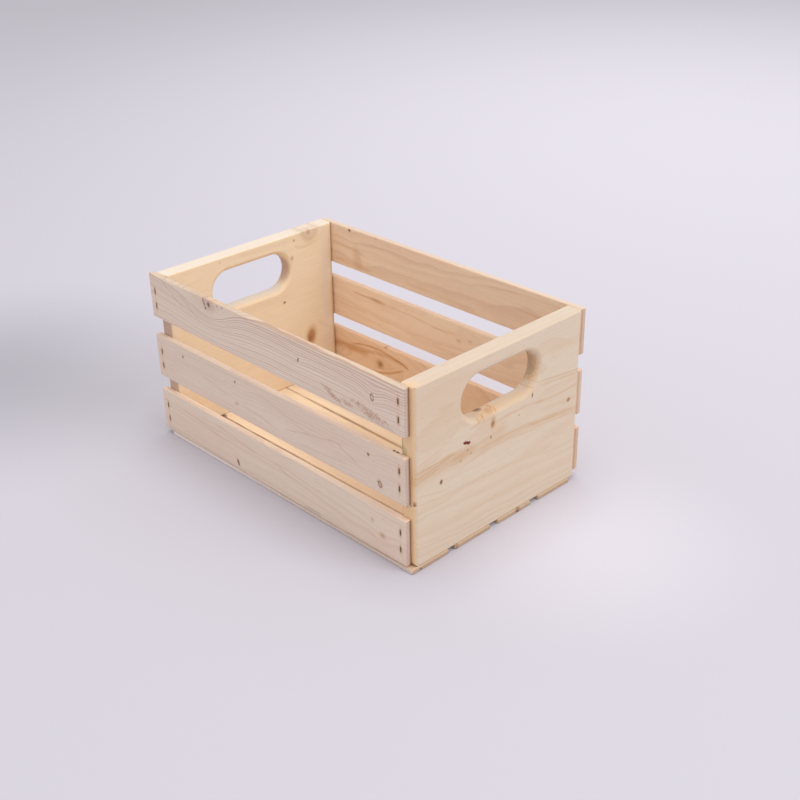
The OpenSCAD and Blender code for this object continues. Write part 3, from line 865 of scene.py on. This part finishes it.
# end boards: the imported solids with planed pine

endBoards = {
    "end_board_right": {
        "figure": figure(-420.0, 160.0, 5.2, 3.6, 5.0, slant=-0.05),
        # its lowered tone is painted shade on the outer face, where the lamp falls full on it; its brighter end-grain
        # colour is painted light on the end grain beside the front slats, in their shade
        "tone": (0.915, 0.905, 0.93), "look": {"Cut Wood And Painted Light": (1.2, 1.02, 0.78)},
        "knots": [
            (-23, 139, 9, 5, 0, 15, 19, 0, 0, 0.3), (-13, 122, 2.3, 3.3, -8, 5, 16, 0.8, 0.3, 0.5),
            (-13, 126.5, 2.6, 3.2, -8, 0, 16, 0.2, 0.1, 0.25), (-15.8, 108.3, 1.2, 1.6, 0, 1, 6, 0.65, 0.3, 0.2),
            (45.9, 131.7, 0.9, 2.6, 0, 1, 6, 0.9, 0.5, 0.15), (105.6, 104, 2.2, 1.7, 25, 2, 8, 0.6, 0.5, 0.4),
            (26.1, 116.7, 0.9, 0.9, 0, 0.5, 5, 0.4, 0.2, 0.15), (-86.3, 87.6, 1.6, 2.1, -14, 3, 9, 1, 0.7, 0.15),
            (-49.2, 107.6, 1, 1.2, 0, 0, 5, 0.45, 0.1, 0.15), (-44.7, 102.2, 0.9, 1.2, 0, 0, 5, 0.4, 0.1, 0.15),
            (-59.2, 99.4, 1.3, 1.3, 0, 0, 5, 0.3, 0.1, 0.2),
        ],
        "streaks": [
            (-126, 115.5, -80, 126, -0.5, 0.9, 0.45), (-126, 113.8, -84, 121, -1, 0.8, 0.4),
            (-126, 112, -85, 117.5, -1.2, 0.9, 0.5), (-126, 110.5, -62, 113.5, -1.2, 1.5, 0.7),
            (-126, 108, -88, 111, -1, 0.9, 0.45), (-126, 104.2, -60, 112, -0.5, 1.6, 0.7),
            (-126, 101.5, -92, 107, -1, 0.9, 0.4), (-126, 98.8, -88, 106, -1.6, 1.6, 0.55),
            (-124, 85, -80, 76.5, 0, 1.3, 0.3), (-124, 75.5, -90, 71.5, 0, 1.3, 0.3),
            (-130, 103, -36, 108, -2, 13, 0.42), (-76, 103, 12, 112, 0, 12, 0.34),
            (-34, 101, 62, 96, 3.5, 1.2, 0.55), (-40, 98.5, 62, 93.6, 4.2, 1, 0.42),
            (-30, 104, 50, 99.8, 3, 0.9, 0.3), (-62, 92, 62, 87.5, 6, 1.1, 0.36), (-70, 90, 10, 100, 0, 0.9, 0.3),
            (36, 99.6, 128, 89, 1.2, 1, 0.5), (38, 97.6, 128, 86.5, 1.2, 1.2, 0.55),
            (44, 92.5, 128, 83, 1, 1.1, 0.35), (-50, 97, 128, 88, 5, 8, 0.3), (60, 108, 128, 103, 0, 4, 0.2),
            (-14, 121.5, 68, 119, 3, 3.2, 0.34), (48, 120.5, 128, 118, -1.5, 2.4, 0.4),
            (54, 143.5, 128, 133.5, 0, 1.7, 0.5), (56, 139, 128, 130.5, 0, 2.4, 0.4),
            (60, 128, 128, 125, 1, 5, 0.16), (66, 168, 126, 171, 2, 11, 0.12), (-48, 129, -24, 137, -2, 1.8, 0.35),
            (20, 147.5, 50, 138, 1.5, 1.5, 0.4), (34, 152, 58, 141, 1, 1.2, 0.4), (-126, 70, 40, 60, 3, 5, 0.12),
            (30, 66, 126, 78, 0, 10, 0.14), (-120, 186, 30, 190, 0, 7, 0.1), (-80, 40, 60, 30, 0, 8, 0.1),
        ],
        "smudges": [
            (203, 18, 137, 14, 42, 7.5, 0.4, "honey"), (198, -16, 138, 14, 19, 8, 0.5, "honey"),
            (187, 51, 163, 19, 13, 26, 0.8, "wallShade"), (200, -15.5, 136.5, 5, 6.5, 5, 0.4, "rust"),
            (190.5, -23.6, 138, 6, 6.5, 4, 0.8, "darkKnot"), (189, -13, 138, 1.5, 6, 3, 0.5, "rust"),
            (195, -10, 137.5, 4.5, 1.8, 3, 0.55, "rust"), (201, -8, 135.5, 4.5, 1.5, 4, 0.4, "rust"),
            (202, -27, 134.5, 4, 1.6, 4.5, 0.4, "rust"), (203, -34, 133.5, 4, 1.4, 4.5, 0.35, "rust"),
            (204.5, -9, 118.5, 4, 7, 6, 0.35, "honey"), (196, -117, 201.5, 10, 9, 4, 0.6, "honey"),
            (204.5, -53.4, 117.3, 5, 2.9, 2.1, 1, "resin"), (204.5, -50.6, 116.2, 5, 2.9, 2.1, 1, "resin"),
            (204.5, -47.8, 115.1, 5, 2.9, 2.1, 1, "resin"), (204.5, -80, 175, 6, 60, 36, 0.2, "tan"),
            (204.5, -80, 88.3, 3, 4, 0.9, 0.6, "honey"), (202.6, -120.6, 77.2, 2.2, 3, 3.2, 0.8, "rust"),
            (202.6, -120.6, 75.8, 1.4, 3, 1.8, 0.6, "darkKnot"), (198, -121.3, 74, 2.2, 3, 1.6, 0.5, "darkKnot"),
            (193.5, -121.3, 71.5, 2, 3, 1.4, 0.4, "darkKnot"), (187, -121.3, 137, 3, 5, 11, 0.75, "mould"),
            (190.5, -121.3, 131, 5, 4, 6, 0.45, "mould"),
        ],
    },
    "end_board_left": {
        "figure": figure(480.0, 120.0, 6.0, 3.4, 13.0, slant=0.03),
        # its raised tone is painted light on its inner face, which stands brighter inside the crate than the lamps
        # light it
        "tone": (1.12, 1.10, 1.06),
        "look": {"Ring Contrast": 0.12, "Cut Wood And Painted Light": (0.68, 0.58, 0.60), "Edge Wood And Painted Light": (0.87, 0.92, 1.06)},
        "knots": [
            (80.6, 62.5, 4.6, 7.4, -10, 9, 24, 0.4, 0.25, 0.75),
            (41.3, 119.3, 1.6, 1.2, 15, 1.5, 8, 0.95, 0.6, 0.25), (86, 203, 12.5, 14, 0, 8, 22, 0, 0.16, 0.12),
            (61.5, 193.6, 1.3, 1.3, 0, 1, 7, 0.4, 0.2, 0.25), (57, 172, 1.4, 2.2, 0, 1, 7, 0.35, 0.2, 0.3),
            (-48.3, 196.5, 1, 0.8, 0, 0.5, 6, 0.3, 0.1, 0.15),
        ],
        "streaks": [
            (-30, 197, 64, 194, 0, 6, 0.14), (60, 186, 100, 186, -4, 3, 0.25), (-118, 130, 70, 124, 0, 9, 0.1),
            (90, 80, 118, 60, 0, 5, 0.2),
        ],
        "smudges": [
            (-182.5, 80.2, 61.2, 6, 7.6, 9.6, 0.75, "rust"), (-182.5, 78, 59.5, 6, 4.4, 5, 0.3, "darkKnot"),
            (-184, 84.5, 200, 10, 11, 13, 0.3, "rust"), (-184, 84.5, 199, 8, 7.5, 8.5, 0.6, "paleWoodAndHighlight"),
            # the last mark on this line is a painted highlight, a pale band down the inner face; the mark below it is
            # painted shade with the dark joint, darker towards the corner with the back slats
            (-184, 84, 198.5, 8, 4.5, 5, 0.5, "rust"), (-182.5, 107, 120, 6, 7, 120, 0.55, "paleWoodAndHighlight"),
            (-184, 119.5, 80, 6, 5, 110, 0.45, "rust"),
        ],
    },
}


def dressEndBoards():
    for name, board in endBoards.items():
        material = pineMaterial("pine_" + name, "end", "planed", board)
        node = nodes[name]
        node.data.materials.clear()
        node.data.materials.append(material)
        print("board", name, "dressed")


dressEndBoards()


# staples

stapleShape = {"crown": 6 * mm, "width": 1.2 * mm, "thickness": 1.0 * mm, "bend": 0.7 * mm}


def stapleSteel():
    material = bpy.data.materials.new("dullStapleSteel")
    material.use_nodes = True
    bench = Bench(material.node_tree)
    shader = material.node_tree.nodes["Principled BSDF"]
    at = bench.vec("SCALE", bench.add("ShaderNodeTexCoord").outputs["Object"], scale=1000.0)
    patch = bench.noise(at, scale=0.8, detail=3.0)
    colour = bench.tint(bench.ramp(patch, 0.4, 0.65), (0.13, 0.10, 0.08, 1), (0.06, 0.04, 0.03, 1))
    bench.feed(shader.inputs["Base Color"], colour)
    bench.feed(shader.inputs["Roughness"], bench.ramp(patch, 0.3, 0.7, 0.4, 0.65))
    shader.inputs["Metallic"].default_value = 0.6
    return material


def buildStaples():
    tree, steel = makeStapleTree(), stapleSteel()
    for name, boxes in (("side_staples", sideStapleBoxes), ("floor_staples", floorStapleBoxes)):
        mesh = bpy.data.meshes.new(name + "Points")
        places, drives, crowns = [], [], []
        for low, high in boxes:
            middle = middleOf((low, high))
            if name == "floor_staples":
                places.append((middle.x, middle.y, low.z))
                drives.append((0, 0, 1))
                crowns.append((0, 1, 0))
            else:
                side = -1 if middle.y < 0 else 1
                places.append((middle.x, low.y if side < 0 else high.y, middle.z))
                drives.append((0, -side, 0))
                crowns.append((0, 0, 1))
        mesh.from_pydata(places, [], [])
        for label, vectors in (("drive", drives), ("crown", crowns)):
            attribute = mesh.attributes.new(label, "FLOAT_VECTOR", "POINT")
            attribute.data.foreach_set("vector", [c for v in vectors for c in v])
        leg = max(abs(c) for c in (boxes[0][1] - boxes[0][0]))
        piece = runTree(name + "_wire", tree, {
            "Crown": stapleShape["crown"], "Wire Width": stapleShape["width"],
            "Wire Thickness": stapleShape["thickness"], "Leg": leg - stapleShape["thickness"],
            "Bend": stapleShape["bend"], "Steel": steel,
        }, mesh)
        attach(piece, "root")
        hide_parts(name)
        print("staples", name, len(piece.data.polygons), "faces")


buildStaples()


# stage and light

studio = {
    "paper": (0.575, 0.548, 0.607, 1), "paperRadius": 14,
    "pools": [   # painted pools of light and shade on the paper, laid in this order: middle, reach in metres, tone
        ((0.29, 0.04, 0.0), 0.21, (0.66, 0.628, 0.695, 1)),   # painted light beside the near end, where the crate throws light back onto the paper
        ((-0.5, -0.2, 0.0), 0.35, (0.42, 0.40, 0.445, 1)),    # painted shade past the far end, where the crate's soft shadow reaches further
        ((-0.75, 1.75, 0.0), 2.1, (0.745, 0.71, 0.785, 1)),   # painted light, far behind the crate, where the backdrop is palest
    ],
    "sky": (1.0, 1.0, 1.0, 1), "skyStrength": 0.78,
    "aim": (0, 0, 0.08),
    "lamps": {   # direction from the crate, distance and size in metres, watts
        "softKey": {"from": (0.70, 0.19, 0.69), "distance": 3.6, "size": 2.2, "power": 34.0},
        "overhead": {"from": (0.0, 0.02, 1.0), "distance": 3.2, "size": 2.0, "power": 36.5},
    },
}


def setStudio(look):
    work = bmesh.new()
    bmesh.ops.create_circle(work, cap_ends=True, segments=96, radius=look["paperRadius"])
    mesh = bpy.data.meshes.new("studioFloor")
    work.to_mesh(mesh)
    work.free()
    floor = bpy.data.objects.new("studioFloor", mesh)
    bpy.context.scene.collection.objects.link(floor)
    paper = bpy.data.materials.new("floorPaperAndPaintedLight")
    paper.use_nodes = True
    shader = paper.node_tree.nodes["Principled BSDF"]
    bench = Bench(paper.node_tree)
    where = bench.add("ShaderNodeTexCoord").outputs["Object"]
    tone = look["paper"]
    for middle, reach, poolTone in look["pools"]:
        tone = bench.tint(bench.fade(bench.vec("DISTANCE", where, middle), 0.0, reach), tone, poolTone)
    bench.feed(shader.inputs["Base Color"], tone)
    shader.inputs["Roughness"].default_value = 0.9
    shader.inputs["Specular IOR Level"].default_value = 0.1
    mesh.materials.append(paper)
    world = bpy.data.worlds.new("paleStudio")
    bpy.context.scene.world = world
    world.use_nodes = True
    sky = world.node_tree.nodes["Background"]
    sky.inputs["Color"].default_value = look["sky"]
    sky.inputs["Strength"].default_value = look["skyStrength"]
    for name, lamp in look["lamps"].items():
        direction = Vector(lamp["from"]).normalized()
        data = bpy.data.lights.new(name, "AREA")
        data.shape = "DISK"
        data.size = lamp["size"]
        data.energy = lamp["power"]
        light = bpy.data.objects.new(name, data)
        light.location = Vector(look["aim"]) + direction * lamp["distance"]
        light.rotation_mode = "QUATERNION"
        light.rotation_quaternion = direction.to_track_quat("Z", "Y")
        bpy.context.scene.collection.objects.link(light)
    bpy.context.scene.view_settings.view_transform = "Standard"
    print("studio set")


setStudio(studio)
